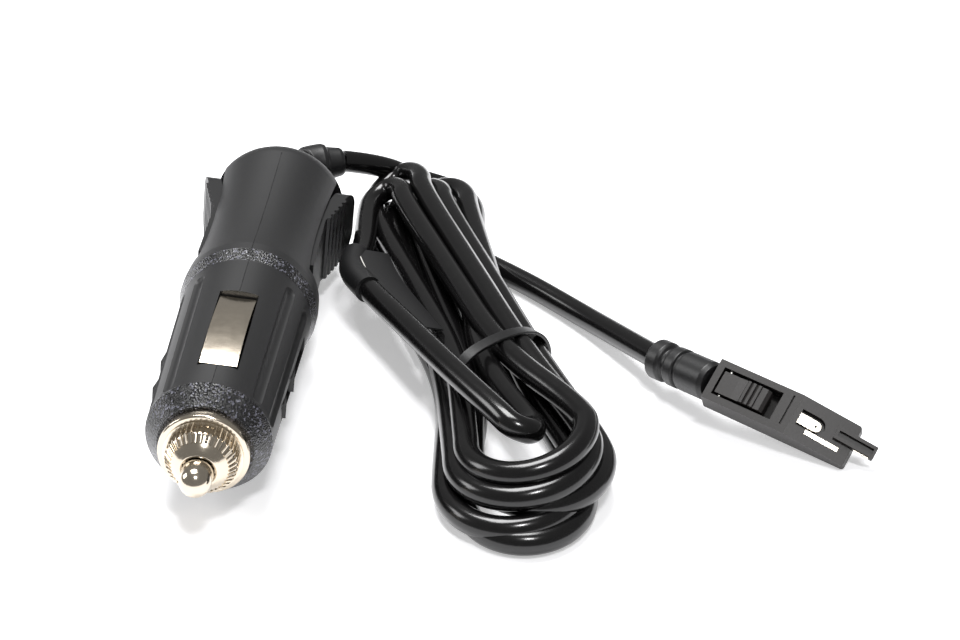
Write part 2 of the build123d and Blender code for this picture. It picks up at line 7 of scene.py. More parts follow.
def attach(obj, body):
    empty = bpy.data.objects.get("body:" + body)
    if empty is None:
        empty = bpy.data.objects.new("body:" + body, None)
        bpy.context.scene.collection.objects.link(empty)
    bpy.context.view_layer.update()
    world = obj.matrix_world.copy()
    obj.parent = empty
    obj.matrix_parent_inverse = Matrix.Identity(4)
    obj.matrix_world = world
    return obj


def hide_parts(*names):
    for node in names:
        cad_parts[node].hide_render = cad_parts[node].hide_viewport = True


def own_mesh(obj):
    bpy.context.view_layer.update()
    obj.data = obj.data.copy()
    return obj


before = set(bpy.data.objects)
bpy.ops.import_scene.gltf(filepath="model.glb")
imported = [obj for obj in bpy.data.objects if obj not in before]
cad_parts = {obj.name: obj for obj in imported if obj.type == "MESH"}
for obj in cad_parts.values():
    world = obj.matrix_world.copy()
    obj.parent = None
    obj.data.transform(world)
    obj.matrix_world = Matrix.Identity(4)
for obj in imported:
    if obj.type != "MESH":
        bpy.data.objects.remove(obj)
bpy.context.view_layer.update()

# A 12 V power lead: lighter plug, thin PVC cable tied in a hank, flat latching connector.
# Lengths are millimetres, unless a comment says metres; mm() turns a point into metres. The
# pieces of the plug and of the connector are drawn in their own frames, which PLUG_PLACE and
# CONNECTOR_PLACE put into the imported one. The plug points along -Y.

PLUG_AXIS_HEIGHT = 12.28
PLUG_ROLL = 6.3               # degrees about the plug's axis
FRAME_STATION = 33.7          # distance along the plug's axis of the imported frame's origin
BARREL_END = 82.0             # distance along the same axis at which the boot starts
CABLE_DIAMETER = 4.2
PLUG_PLACE = (Matrix.Translation((0, -FRAME_STATION, PLUG_AXIS_HEIGHT))
              @ Matrix.Rotation(radians(PLUG_ROLL), 4, "Y"))
CONNECTOR_PLACE = (Matrix.Translation((78.7, -6.73, 9.45)) @ Matrix.Rotation(radians(-28.0), 4, "Z")
                   @ Matrix.Rotation(radians(8.0), 4, "Y") @ Matrix.Rotation(radians(34.8), 4, "X"))


def mm(*values):
    return Vector(values) / 1000


def add_object(name, data):
    """New object in the scene that holds this data."""
    made = bpy.data.objects.new(name, data)
    bpy.context.scene.collection.objects.link(made)
    return made


# ------------------------------------------------------------------------------------------
# Camera, floor and light
# ------------------------------------------------------------------------------------------
CAMERA_PLACE = (60.3, -315.12, 202.6)
CAMERA_DOWN, CAMERA_TURN = 30.72, 3.67    # degrees below the horizon, and towards -X
LENS, SENSOR_WIDTH = 82.5, 36.0

FLOOR_HALF = 3.0              # metres
FLOOR_DROP = 0.0001           # metres, so that the floor clears what rests on it
LAMP_TARGET = (0.03, 0, 0)    # metres
# place and side in metres, power in watts
LAMPS = {
    "top_softbox": ((-0.1, 0.3, 0.95), 0.5, 13.0),
    "front_softbox": ((0.2, -0.5, 0.95), 0.16, 5.0),
    "left_softbox": ((-0.95, 0.1, 0.5), 0.4, 3.5),
}
WORLD_STRENGTH = 0.26


def set_camera():
    data = bpy.data.cameras.new("camera")
    data.lens, data.sensor_width = LENS, SENSOR_WIDTH
    data.clip_start, data.clip_end = 0.01, 20.0
    camera = add_object("camera", data)
    camera.location = mm(*CAMERA_PLACE)
    camera.rotation_euler = (radians(90 - CAMERA_DOWN), 0, radians(CAMERA_TURN))
    bpy.context.scene.camera = camera


def add_lamp(name, place, side, power):
    data = bpy.data.lights.new(name, "AREA")
    data.shape, data.size, data.energy = "SQUARE", side, power
    lamp = add_object(name, data)
    lamp.location = Vector(place)
    heading = Vector(LAMP_TARGET) - Vector(place)
    lamp.rotation_euler = heading.to_track_quat("-Z", "Y").to_euler()


def set_stage():
    mesh = bpy.data.meshes.new("floor")
    corners = [(x * FLOOR_HALF, y * FLOOR_HALF, 0) for x, y in ((-1, -1), (1, -1), (1, 1), (-1, 1))]
    mesh.from_pydata(corners, [], [(0, 1, 2, 3)])
    floor = add_object("floor", mesh)
    floor.location.z = -FLOOR_DROP
    floor.data.materials.append(floor_paper())
    for name, (place, side, power) in LAMPS.items():
        add_lamp(name, place, side, power)
    world = bpy.data.worlds.new("studio")
    world.use_nodes = True
    sky = world.node_tree.nodes["Background"]
    sky.inputs["Color"].default_value = (1, 1, 1, 1)
    sky.inputs["Strength"].default_value = WORLD_STRENGTH
    bpy.context.scene.world = world
    bpy.context.scene.view_settings.view_transform = "Standard"


# ------------------------------------------------------------------------------------------
# Materials
# ------------------------------------------------------------------------------------------
def colour(text):
    """sRGB hex to linear RGBA."""
    parts = [int(text[i:i + 2], 16) / 255 for i in (1, 3, 5)]
    linear = [c / 12.92 if c <= 0.04045 else ((c + 0.055) / 1.055) ** 2.4 for c in parts]
    return (*linear, 1.0)


def node(tree, kind, settings=None, **links):
    """Adds a node. Settings set its properties or inputs; links join outputs to its inputs, named
    with _ for a space, or _0, _1 and so on for the first, the second and so on."""
    made = tree.nodes.new(kind)
    for name, value in (settings or {}).items():
        if isinstance(name, str) and name in made.bl_rna.properties:
            setattr(made, name, value)
        else:
            made.inputs[name].default_value = value
    for name, source in links.items():
        target = int(name[1:]) if name[0] == "_" else name.replace("_", " ")
        tree.links.new(source, made.inputs[target])
    return made


def material(name, hex_colour, roughness, **shader):
    """Principled material; shader names more of its inputs, with _ for a space."""
    made = bpy.data.materials.new(name)
    made.use_nodes = True
    surface = made.node_tree.nodes["Principled BSDF"]
    surface.inputs["Base Color"].default_value = colour(hex_colour)
    surface.inputs["Roughness"].default_value = roughness
    for key, value in shader.items():
        surface.inputs[key.replace("_", " ")].default_value = value
    return made


def mix_colours(tree, surface, first, second, share):
    """Base colour that goes from the first to the second with share."""
    mix = node(tree, "ShaderNodeMix", {"data_type": "RGBA", 6: first, 7: second}, _0=share)
    tree.links.new(mix.outputs[2], surface.inputs["Base Color"])


def grain(made, size, depth, hex_light=None, rough_swing=0.0):
    """Surface grain of this size and depth in mm, with a matching swing of colour and gloss."""
    tree = made.node_tree
    surface = tree.nodes["Principled BSDF"]
    place = node(tree, "ShaderNodeTexCoord").outputs["Object"]
    noise = node(tree, "ShaderNodeTexNoise", {"Scale": 1000.0 / size, "Detail": 3.0,
                                              "Roughness": 0.6}, Vector=place)
    bump = node(tree, "ShaderNodeBump", {"Strength": 0.6, "Distance": depth / 1000},
                Height=noise.outputs["Fac"])
    tree.links.new(bump.outputs["Normal"], surface.inputs["Normal"])
    if hex_light:
        dark = tuple(surface.inputs["Base Color"].default_value)
        mix_colours(tree, surface, dark, colour(hex_light), noise.outputs["Fac"])
    if rough_swing:
        level = surface.inputs["Roughness"].default_value
        swing = node(tree, "ShaderNodeMapRange", {3: level - rough_swing, 4: level + rough_swing},
                     Value=noise.outputs["Fac"])
        tree.links.new(swing.outputs["Result"], surface.inputs["Roughness"])
    return made


def floor_paper():
    """Matt white paper sweep. It glows a little, so that the shadows on it stay pale."""
    paper = material("white_paper_sweep", "#f2f2f4", 0.9, Specular_IOR_Level=0.1,
                     Emission_Strength=0.42)
    paper.node_tree.nodes["Principled BSDF"].inputs["Emission Color"].default_value = (1, 1, 1, 1)
    return grain(paper, 0.6, 0.01)


FINE_GRAIN, COARSE_GRAIN = 0.35, 0.3
# where the chamfers of nose and collar start and end, along the plug's axis; coarse grain and painted
# glints go there
GRAIN_AND_GLINT_BANDS = ((-3.3, 0.1), (36.75, 39.45))
# share of the coarse cells on the chamfers that get a pale painted glint in their base colour
PAINTED_GLINT_SHARE = 0.14          # share of the coarse grains that catch the light


def spark_eroded_abs():
    """Moulded ABS: fine grain all over, with coarse grain and pale painted glints on the chamfers of
    nose and collar.
    Both grains are drawn coarser than the real ones, so that they show."""
    made = material("moulded_abs_spark_eroded", "#161617", 0.5)
    tree = made.node_tree
    surface = tree.nodes["Principled BSDF"]
    place = node(tree, "ShaderNodeTexCoord").outputs["Object"]
    along = node(tree, "ShaderNodeSeparateXYZ", Vector=place).outputs["Y"]
    fine = node(tree, "ShaderNodeTexNoise", {"Scale": 1000 / FINE_GRAIN, "Detail": 3.0}, Vector=place)
    coarse = node(tree, "ShaderNodeTexVoronoi", {"Scale": 1000 / COARSE_GRAIN}, Vector=place)
    masks = []
    for first, last in GRAIN_AND_GLINT_BANDS:
        middle = (first + last) / 2000 - FRAME_STATION / 1000
        away = node(tree, "ShaderNodeMath", {"operation": "SUBTRACT", 1: middle}, _0=along)
        size = node(tree, "ShaderNodeMath", {"operation": "ABSOLUTE"}, _0=away.outputs[0])
        inside = node(tree, "ShaderNodeMath", {"operation": "LESS_THAN", 1: (last - first) / 2000},
                      _0=size.outputs[0])
        masks.append(inside.outputs[0])
    grain_and_glint_zone = node(tree, "ShaderNodeMath", {"operation": "MAXIMUM"}, _0=masks[0], _1=masks[1])
    height = node(tree, "ShaderNodeMath", {"operation": "MULTIPLY"}, _0=coarse.outputs["Distance"],
                  _1=grain_and_glint_zone.outputs[0])
    coarse_bump = node(tree, "ShaderNodeBump", {"Strength": 0.9, "Distance": 0.00012},
                       Height=height.outputs[0])
    bump = node(tree, "ShaderNodeBump", {"Strength": 0.35, "Distance": 0.00003},
                Height=fine.outputs["Fac"], Normal=coarse_bump.outputs["Normal"])
    tree.links.new(bump.outputs["Normal"], surface.inputs["Normal"])
    # painted glints: a share of the coarse cells in the chamfer bands get a pale grey base colour,
    # standing in for light caught by their facets
    glint_pick = node(tree, "ShaderNodeSeparateColor", Color=coarse.outputs["Color"])
    bright = node(tree, "ShaderNodeMath", {"operation": "GREATER_THAN", 1: 1 - PAINTED_GLINT_SHARE},
                  _0=glint_pick.outputs[0])
    painted_glints = node(tree, "ShaderNodeMath", {"operation": "MULTIPLY"}, _0=bright.outputs[0],
                      _1=grain_and_glint_zone.outputs[0])
    dark = tuple(surface.inputs["Base Color"].default_value)
    mix_colours(tree, surface, dark, colour("#5c5c66"), painted_glints.outputs[0])
    gloss = node(tree, "ShaderNodeMapRange", {3: 0.5, 4: 0.24}, Value=grain_and_glint_zone.outputs[0])
    tree.links.new(gloss.outputs["Result"], surface.inputs["Roughness"])
    return made


MATERIALS = {
    # ABS with a fine spark-eroded grain: matt, with soft wide highlights
    "body": spark_eroded_abs(),
    "lever": grain(material("moulded_abs_fine_grain", "#121213", 0.42), 0.35, 0.02,
                   rough_swing=0.05),
    # bright nickel plate on brass: warm mirror with faint polishing haze
    "nickel": grain(material("nickel_plate_polished", "#cdc2b1", 0.15, Metallic=1.0), 0.9, 0.006,
                    rough_swing=0.05),
    # nickel plate on rolled strip: a little duller and more wavy than the turned parts
    "leaf": grain(material("nickel_plate_strip", "#d6cbba", 0.2, Metallic=1.0), 1.4, 0.01,
                  rough_swing=0.06),
    # drawn spring steel: darker, slightly streaked metal
    "steel": grain(material("spring_steel_drawn", "#a9a8a4", 0.28, Metallic=1.0), 0.25, 0.01,
                   rough_swing=0.06),
    # dull tin plate on pressed brass: soft grey metal
    "tin": grain(material("tin_plated_brass", "#c9c2b6", 0.25, Metallic=1.0), 0.5, 0.008,
                 rough_swing=0.06),
    # drawn soda glass: clear and smooth
    "glass": material("soda_glass_tube", "#eef4f2", 0.04, Transmission_Weight=0.9),
    # extruded soft PVC: smooth satin with faint drag marks and long broad highlights
    "cable": grain(material("extruded_pvc_jacket", "#080809", 0.19), 1.6, 0.012,
                   hex_light="#0d0c0c", rough_swing=0.03),
    # moulded soft PVC: duller than the cable
    "boot": grain(material("moulded_pvc_boot", "#0f0f10", 0.42), 0.4, 0.03, rough_swing=0.06),
    # extruded polyethylene: waxy, between the cable and the boots in gloss
    "tie": grain(material("polyethylene_tie_band", "#0e0e0f", 0.34), 0.5, 0.02, rough_swing=0.05),
    # black coated paper: smooth and slightly glossy, with a pale matt cut edge
    "label": grain(material("coated_label_paper", "#121213", 0.42), 0.5, 0.01, rough_swing=0.04),
    "label_edge": grain(material("label_paper_cut_edge", "#c9c7c2", 0.7), 0.3, 0.01),
    # polycarbonate blend with a fine grain: slightly brown black
    "connector": grain(material("moulded_polycarbonate_blend", "#1b1817", 0.45), 0.3, 0.02,
                       rough_swing=0.05),
    # extruded PVC core: satin
    "red_wire": grain(material("pvc_core_red", "#8d1713", 0.35), 0.6, 0.01),
    "black_wire": grain(material("pvc_core_black", "#131313", 0.35), 0.6, 0.01),
}
CAD_FINISH = {
    "body": ["body_half_right", "body_half_left"],
    "lever": ["lever_right", "lever_left"],
    "steel": ["lever_pins", "case_screw", "latch_pin"],
    "tin": ["rear_terminal", "ground_clip", "fuse_cap_front", "fuse_cap_rear", "contact_tongue",
            "contact_strip", "key_contact", "fuse_wire"],
    "leaf": ["ground_leaf", "cap_washer"],
    "glass": ["fuse_glass"],
    "connector": ["connector_base", "connector_cover", "latch_button", "key_rib"],
    "red_wire": ["positive_wire"],
    "black_wire": ["negative_wire"],
}


# ------------------------------------------------------------------------------------------
# Mesh helpers
# ------------------------------------------------------------------------------------------
def finish(name, mesh, finish_name, body, replaced=(), place=None, smooth=40):
    """Puts a finished mesh into the scene as one piece of the object."""
    if place is not None:
        mesh.transform(place)
    mesh.transform(Matrix.Scale(0.001, 4))
    if not mesh.materials:
        mesh.materials.append(MATERIALS[finish_name])
    piece = add_object(name, mesh)
    mesh.shade_smooth()
    mesh.set_sharp_from_angle(angle=radians(smooth))
    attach(piece, body)
    if replaced:
        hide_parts(*replaced)
    return piece


def mesh_from(form, name):
    """Merged mesh with its faces outwards, from a bmesh."""
    bmesh.ops.remove_doubles(form, verts=form.verts, dist=0.0005)
    bmesh.ops.recalc_face_normals(form, faces=form.faces)
    mesh = bpy.data.meshes.new(name)
    form.to_mesh(mesh)
    form.free()
    return mesh


def lathe(name, profile, steps=96):
    """Closed ring of (radius, station) points turned about Y."""
    form = bmesh.new()
    rings = []
    for i in range(steps):
        a = 2 * pi * i / steps
        rings.append([form.verts.new((r * cos(a), s, r * sin(a))) for r, s in profile])
    count = len(profile)
    for i in range(steps):
        here, there = rings[i], rings[(i + 1) % steps]
        for j in range(count):
            k = (j + 1) % count
            form.faces.new([here[j], here[k], there[k], there[j]])
    bmesh.ops.remove_doubles(form, verts=form.verts, dist=0.0005)
    bmesh.ops.dissolve_degenerate(form, edges=form.edges, dist=0.0005)
    return mesh_from(form, name)


def rounded(profile, radius, steps=4):
    """Profile with its corners rounded; a corner with a third value stays sharp."""
    result = []
    count = len(profile)
    for i, point in enumerate(profile):
        here = Vector(point[:2])
        if len(point) == 3:
            result.append(tuple(here))
            continue
        before, after = Vector(profile[i - 1][:2]), Vector(profile[(i + 1) % count][:2])
        cut = min(radius, 0.45 * (before - here).length, 0.45 * (after - here).length)
        start = here + (before - here).normalized() * cut
        end = here + (after - here).normalized() * cut
        for k in range(steps + 1):
            t = k / steps
            result.append(tuple(start * (1 - t) ** 2 + here * 2 * t * (1 - t) + end * t * t))
    return result


def tube_along(name, path, radii, sides=32):
    """Closed tube: a ring of its own radius round each point of the path."""
    form = bmesh.new()
    rings = []
    up = None
    for i, point in enumerate(path):
        ahead = path[min(i + 1, len(path) - 1)]
        behind = path[max(i - 1, 0)]
        along = (ahead - behind).normalized()
        if up is None:
            up = along.orthogonal().normalized()
        up = (up - along * up.dot(along)).normalized()
        side = along.cross(up)
        rings.append([form.verts.new(point + (up * cos(2 * pi * k / sides)
                                              + side * sin(2 * pi * k / sides)) * radii[i])
                      for k in range(sides)])
    for here, there in zip(rings, rings[1:]):
        for k in range(sides):
            form.faces.new([here[k], here[(k + 1) % sides], there[(k + 1) % sides], there[k]])
    form.faces.new(rings[0])
    form.faces.new(rings[-1])
    return mesh_from(form, name)


def coil(name, start, end, radius, wire, turns):
    """Compression spring between two points, as a wire tube along a helix."""
    along = (end - start).normalized()
    up = along.orthogonal().normalized()
    side = along.cross(up)
    steps = int(turns * 20)
    length = (end - start).length - wire
    path = []
    for i in range(steps + 1):
        t = i / steps
        a = 2 * pi * turns * t
        path.append(start + along * (wire / 2 + length * t)
                    + (up * cos(a) + side * sin(a)) * (radius - wire / 2))
    return tube_along(name, path, [wire / 2] * len(path), 8)


# ------------------------------------------------------------------------------------------
# Cable: one curve from the plug's boot, through the hank, to the connector's boot
# ------------------------------------------------------------------------------------------
LEAD_IN = [(9.7, 62.7, 12.28), (16.2, 65.1, 10.6), (22.4, 70.7, 5.0), (30.5, 71.5, 2.2)]
LEAD_OUT = [(36.0, 44.5, 2.1), (46.5, 35.3, 2.1), (56.3, 24.7, 2.3), (63.3, 14.8, 3.9),
            (70.0, 4.4, 6.0)]
# strand under the hank from the far end to the tie, the tight fold, and the labelled strand
FIRST_TURN = [(34.8, 65.5, 2.2), (35.6, 55.0, 2.4), (35.8, 40.0, 3.4), (37.2, 20.0, 6.2),
              (40.6, -2.7, 9.2), (44.6, -13.0, 9.6), (48.2, -20.5, 9.9), (50.3, -25.2, 10.6),
              (49.9, -28.6, 11.9), (46.9, -28.6, 13.0), (44.6, -25.6, 13.5), (41.0, -20.5, 13.6),
              (34.6, -10.6, 13.4), (26.9, 2.8, 12.4), (18.8, 17.0, 11.0), (15.6, 26.0, 9.6),
              (16.6, 36.0, 8.0)]
LAST_TURN = [(27.0, 34.0, 2.1), (21.6, 46.0, 2.1), (20.8, 55.5, 2.1), (24.6, 60.6, 2.1),
             (29.2, 57.6, 2.1), (32.4, 50.6, 2.1)]

# one row for each full turn after the fold: far bend (middle, half sizes, heights left and
# right), the two lanes through the tie (across, height) and the near bend (the same way)
TURNS = [
    dict(far=(18.8, 52.0, 3.3, 6.0, 7.6, 10.4), right=(43.6, 10.6), left=(36.4, 8.9),
         near=(49.0, -26.3, 9.8, 11.6, 8.2, 12.0)),
    dict(far=(20.4, 57.0, 4.8, 9.4, 5.6, 10.4), right=(47.8, 10.2), left=(34.4, 5.4),
         near=(48.6, -27.6, 11.0, 12.9, 6.0, 8.8)),
    dict(far=(24.8, 55.0, 4.8, 8.0, 4.2, 8.4), right=(51.2, 7.0), left=(38.9, 5.2),
         near=(51.0, -27.0, 10.8, 12.8, 5.6, 5.6)),
    dict(far=(28.6, 57.0, 5.5, 9.6, 3.8, 6.4), right=(47.2, 5.8), left=(35.4, 2.1),
         near=(47.2, -29.5, 11.2, 13.9, 2.8, 4.2)),
    dict(far=(19.6, 53.0, 5.2, 9.0, 2.1, 2.1), right=(49.0, 2.1), left=(40.4, 2.1),
         near=(49.2, -32.6, 9.8, 12.0, 2.1, 2.1)),
]
TIE_LANE_Y = -2.5
FAR_ANGLES = (186, 150, 117, 87, 57, 26, -6)
NEAR_ANGLES = (22, -8, -38, -68, -98, -128, -158, -188)


def bend(spec, angles):
    """Points round a half ellipse, with the height eased from its left end to its right end."""
    x, y, across, along, left_height, right_height = spec
    points = []
    for angle in angles:
        a = radians(angle)
        share = (1 + cos(a)) / 2
        points.append((x + across * cos(a), y + along * sin(a),
                       left_height + (right_height - left_height) * share))
    return points


def halfway(start, end):
    return tuple(Vector(start).lerp(Vector(end), 0.5))


def turn_points(turn, next_start):
    """One turn: round the far bend, down the right leg, round the near bend, up the left leg."""
    far, near = bend(turn["far"], FAR_ANGLES), bend(turn["near"], NEAR_ANGLES)
    right = (turn["right"][0], TIE_LANE_Y, turn["right"][1])
    left = (turn["left"][0], TIE_LANE_Y, turn["left"][1])
    return [*far, halfway(far[-1], right), right, *near, left, halfway(left, next_start)]


def cable_points():
    points = LEAD_IN + FIRST_TURN
    starts = [bend(turn["far"], FAR_ANGLES)[0] for turn in TURNS[1:]] + [LAST_TURN[0]]
    for turn, next_start in zip(TURNS, starts):
        points = points + turn_points(turn, next_start)
    return points + LAST_TURN + LEAD_OUT


def spline_curve(name, points, bevel=0.0):
    """Open NURBS curve with these control points; bevel is its tube's radius in metres."""
    data = bpy.data.curves.new(name, "CURVE")
    data.dimensions = "3D"
    spline = data.splines.new("NURBS")
    spline.points.add(len(points) - 1)
    for target, point in zip(spline.points, points):
        target.co = (*mm(*point), 1.0)
    spline.order_u = 3
    spline.use_endpoint_u = True
    spline.resolution_u = 12
    data.bevel_depth = bevel
    data.bevel_resolution = 6
    data.use_fill_caps = True
    return data


def path_of(name, points, closed=False):
    """Points along a smooth curve that these points control."""
    data = spline_curve(name, points)
    if closed:
        data.splines[0].use_endpoint_u = False
        data.splines[0].use_cyclic_u = True
    holder = add_object(name, data)
    line = bpy.data.meshes.new_from_object(holder)
    path = [vertex.co * 1000 for vertex in line.vertices]
    bpy.data.objects.remove(holder)
    return path


def make_cable():
    data = spline_curve("cable", cable_points(), CABLE_DIAMETER / 2000)
    data.materials.append(MATERIALS["cable"])
    cable = add_object("cable", data)
    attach(cable, "root")
    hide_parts("cord_lead_in", "cord_hank", "cord_lead_out")


# ------------------------------------------------------------------------------------------
# Nose of the plug, springs and ringed boots
# ------------------------------------------------------------------------------------------
def make_ring():
    profile = rounded([(6.95, -5.1), (7.18, -4.85), (7.18, -3.05), (6.2, -3.05), (6.2, 5.0),
                       (3.6, 5.0), (3.6, 1.0), (5.03, 1.0), (5.03, -5.1)], 0.12)
    finish("nose_ring_turned", lathe("ring", profile), "nickel", "root",
           ["nose_ring"], PLUG_PLACE)


def knurl_tree():
    """Node tree: a ring of straight knurl ridges about Y."""
    tree = bpy.data.node_groups.new("straight_knurl", "GeometryNodeTree")
    tree.interface.new_socket("Geometry", in_out="INPUT", socket_type="NodeSocketGeometry")
    for name, kind in (("Ridges", "NodeSocketInt"), ("Radius", "NodeSocketFloat"),
                       ("Ridge Width", "NodeSocketFloat"), ("Ridge Height", "NodeSocketFloat"),
                       ("Ridge Length", "NodeSocketFloat"), ("Lean", "NodeSocketFloat"),
                       ("Station", "NodeSocketFloat"), ("Finish", "NodeSocketMaterial")):
        tree.interface.new_socket(name, in_out="INPUT", socket_type=kind)
    tree.interface.new_socket("Geometry", in_out="OUTPUT", socket_type="NodeSocketGeometry")
    given = node(tree, "NodeGroupInput").outputs
    circle = node(tree, "GeometryNodeMeshCircle", Vertices=given["Ridges"], Radius=given["Radius"])
    size = node(tree, "ShaderNodeCombineXYZ", X=given["Ridge Width"], Y=given["Ridge Height"],
                Z=given["Ridge Length"])
    ridge = node(tree, "GeometryNodeMeshCylinder", {"Vertices": 8, "Radius": 0.5, "Depth": 1.0})
    thick = node(tree, "GeometryNodeTransform", Geometry=ridge.outputs["Mesh"],
                 Scale=size.outputs[0])
    lean = node(tree, "ShaderNodeCombineXYZ", X=given["Lean"])
    leaned = node(tree, "GeometryNodeTransform", Geometry=thick.outputs[0],
                  Rotation=lean.outputs[0])
    where = node(tree, "GeometryNodeInputPosition")
    turn = node(tree, "FunctionNodeAlignRotationToVector", {"axis": "Y", "pivot_axis": "Z"},
                Vector=where.outputs[0])
    placed = node(tree, "GeometryNodeInstanceOnPoints", Points=circle.outputs["Mesh"],
                  Instance=leaned.outputs[0], Rotation=turn.outputs[0])
    solid = node(tree, "GeometryNodeRealizeInstances", Geometry=placed.outputs[0])
    shift = node(tree, "ShaderNodeCombineXYZ", Y=given["Station"])
    upright = node(tree, "GeometryNodeTransform",
                   {"Rotation": (radians(-90), 0, 0)}, Geometry=solid.outputs[0],
                   Translation=shift.outputs[0])
    dressed = node(tree, "GeometryNodeSetMaterial", Geometry=upright.outputs[0],
                   Material=given["Finish"])
    out = node(tree, "NodeGroupOutput")
    tree.links.new(dressed.outputs[0], out.inputs[0])
    return tree


def knurl_mesh(tree, **sizes):
    """Runs the knurl tree on an empty mesh and returns its plain result."""
    host = add_object("knurl_host", bpy.data.meshes.new("knurl_host"))
    modifier = host.modifiers.new("knurl", "NODES")
    modifier.node_group = tree
    for item in tree.interface.items_tree:
        key = item.name.replace(" ", "_").lower()
        if item.in_out == "INPUT" and key in sizes:
            modifier[item.identifier] = sizes[key]
    graph = bpy.context.evaluated_depsgraph_get()
    mesh = bpy.data.meshes.new_from_object(host.evaluated_get(graph))
    bpy.data.objects.remove(host)
    return mesh


def make_cap():
    profile = rounded([(3.65, 0.6, 0), (4.95, 0.6), (4.95, -5.4, 0), (5.5, -5.4), (5.5, -7.05),
                       (5.0, -7.7), (4.5, -8.35), (4.15, -8.75), (3.5, -9.35), (2.95, -9.68),
                       (2.7, -9.6, 0), (2.7, -8.3, 0), (3.65, -8.3, 0)], 0.25)
    form = bmesh.new()
    form.from_mesh(lathe("cap", profile))
    tree = knurl_tree()
    bands = (dict(ridges=40, radius=5.42, ridge_width=0.5, ridge_height=0.62, ridge_length=1.6,
                  lean=0.0, station=-6.25),
             dict(ridges=40, radius=4.93, ridge_width=0.44, ridge_height=0.6, ridge_length=1.5,
                  lean=radians(-40), station=-7.7))
    for band in bands:
        form.from_mesh(knurl_mesh(tree, finish=MATERIALS["nickel"], **band))
    mesh = bpy.data.meshes.new("cap")
    bmesh.ops.recalc_face_normals(form, faces=form.faces)
    form.to_mesh(mesh)
    form.free()
    mesh.materials.clear()
    finish("nose_cap_knurled", mesh, "nickel", "cap_body", ["nose_cap"], PLUG_PLACE, 35)


def make_tip():
    dome = [(2.5 * sin(radians(a)), -12.1 - 2.5 * cos(radians(a)), 0) for a in range(0, 91, 9)]
    profile = dome + [(2.5, -9.2), (2.35, -9.0), (2.35, -7.9, 0), (3.45, -7.9), (3.45, -6.4),
                      (2.0, -6.4, 0), (2.0, -4.0), (0, -4.0, 0)]
    finish("contact_tip_turned", lathe("tip", rounded(profile, 0.1), 64), "nickel", "fuse_train",
           ["contact_tip"], PLUG_PLACE)


def make_spring(name, node_name, place, ends, radius, wire, turns):
    """Wire spring between two ends."""
    start, end = Vector(ends[0]), Vector(ends[1])
    piece = finish(name, coil("coil", start, end, radius, wire, turns), "steel", "root",
                   [node_name], place)
    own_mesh(piece)


def make_springs():
    for name, side in (("right", 1), ("left", -1)):
        root, pad = (side * 1.25, 56.0, 0), (side * 8.25, 56.0, 0)
        make_spring(f"lever_spring_{name}_coil", f"lever_spring_{name}", PLUG_PLACE, (root, pad),
                    1.9, 0.45, 6.5)
    fuse_end, terminal = (0, 28, 0), (0, 35, 0)
    make_spring("fuse_spring_coil", "fuse_spring", PLUG_PLACE, (fuse_end, terminal),
                3.0, 0.6, 5.5)
    floor_end, button = (8.4, 0, -3.3), (8.4, 0, -1.25)
    make_spring("latch_spring_coil", "latch_spring", CONNECTOR_PLACE, (floor_end, button),
                0.9, 0.22, 4.5)


def radius_at(marks, distance):
    """Linear between (distance, radius) marks."""
    for (d0, r0), (d1, r1) in zip(marks, marks[1:]):
        if d0 <= distance <= d1:
            return r0 + (r1 - r0) * (distance - d0) / (d1 - d0)
    return marks[-1][1]


def ringed_tube(length, marks, point_at, step=0.12):
    """Tube whose middle and radius are set by the distance along it."""
    count = int(length / step)
    distances = [length * i / count for i in range(count + 1)]
    return tube_along("boot", [point_at(d) for d in distances],
                      [radius_at(marks, d) for d in distances], 40)


BOOT_STRAIGHT, BOOT_BEND_RADIUS, BOOT_TURN, BOOT_TAIL = 4.5, 9.0, radians(70), 4.0


def plug_boot_point(distance):
    """Middle of the plug's boot: straight out of the barrel, round a bend, and straight again."""
    bend_length = BOOT_BEND_RADIUS * BOOT_TURN
    turned = min(max(distance - BOOT_STRAIGHT, 0), bend_length) / BOOT_BEND_RADIUS
    before = min(distance, BOOT_STRAIGHT)
    after = max(distance - BOOT_STRAIGHT - bend_length, 0)
    return Vector((BOOT_BEND_RADIUS * (1 - cos(turned)) + sin(turned) * after,
                   before + BOOT_BEND_RADIUS * sin(turned) + cos(turned) * after, 0))


def make_plug_boot():
    """Ringed boot that turns from the barrel's axis towards +X."""
    marks = [(0, 3.6), (0.9, 3.6), (1.1, 3.35), (3.6, 3.3), (3.9, 3.75), (4.2, 3.95), (6.6, 3.95),
             (6.95, 3.75), (7.1, 3.1), (7.7, 3.1), (7.85, 3.8), (8.2, 4.0), (10.6, 4.0),
             (10.95, 3.8), (11.1, 3.1), (11.8, 3.1), (11.95, 3.8), (12.3, 4.0), (15.4, 3.95),
             (16.1, 3.7), (16.4, 3.2), (17.4, 3.0), (18.8, 2.75), (19.3, 2.5), (19.5, 2.15)]
    length = BOOT_STRAIGHT + BOOT_BEND_RADIUS * BOOT_TURN + BOOT_TAIL
    place = Matrix.Translation((0, BARREL_END - FRAME_STATION, PLUG_AXIS_HEIGHT))
    return finish("plug_boot_ringed", ringed_tube(length, marks, plug_boot_point), "boot", "root",
                  ["plug_strain_relief"], place, 50)


def make_connector_boot():
    """Ringed boot, straight from the cable's end into the connector's rear."""
    start = Vector(LEAD_OUT[-1])
    end = CONNECTOR_PLACE @ Vector((0.2, 0, -2.1))
    length = (end - start).length
    marks = [(0, 2.3), (0.15, 3.1), (0.6, 3.5), (2.7, 3.5), (3.2, 3.2), (3.4, 2.7), (4.2, 2.7),
             (4.4, 3.2), (4.8, 3.45), (6.6, 3.45), (6.75, 3.05), (7.35, 3.05), (7.5, 3.4),
             (length - 0.8, 3.4), (length, 3.0)]
    mesh = ringed_tube(length, marks, lambda distance: start.lerp(end, distance / length))
    return finish("connector_boot_ringed", mesh, "boot", "root", ["connector_boot"],
                  None, 50)


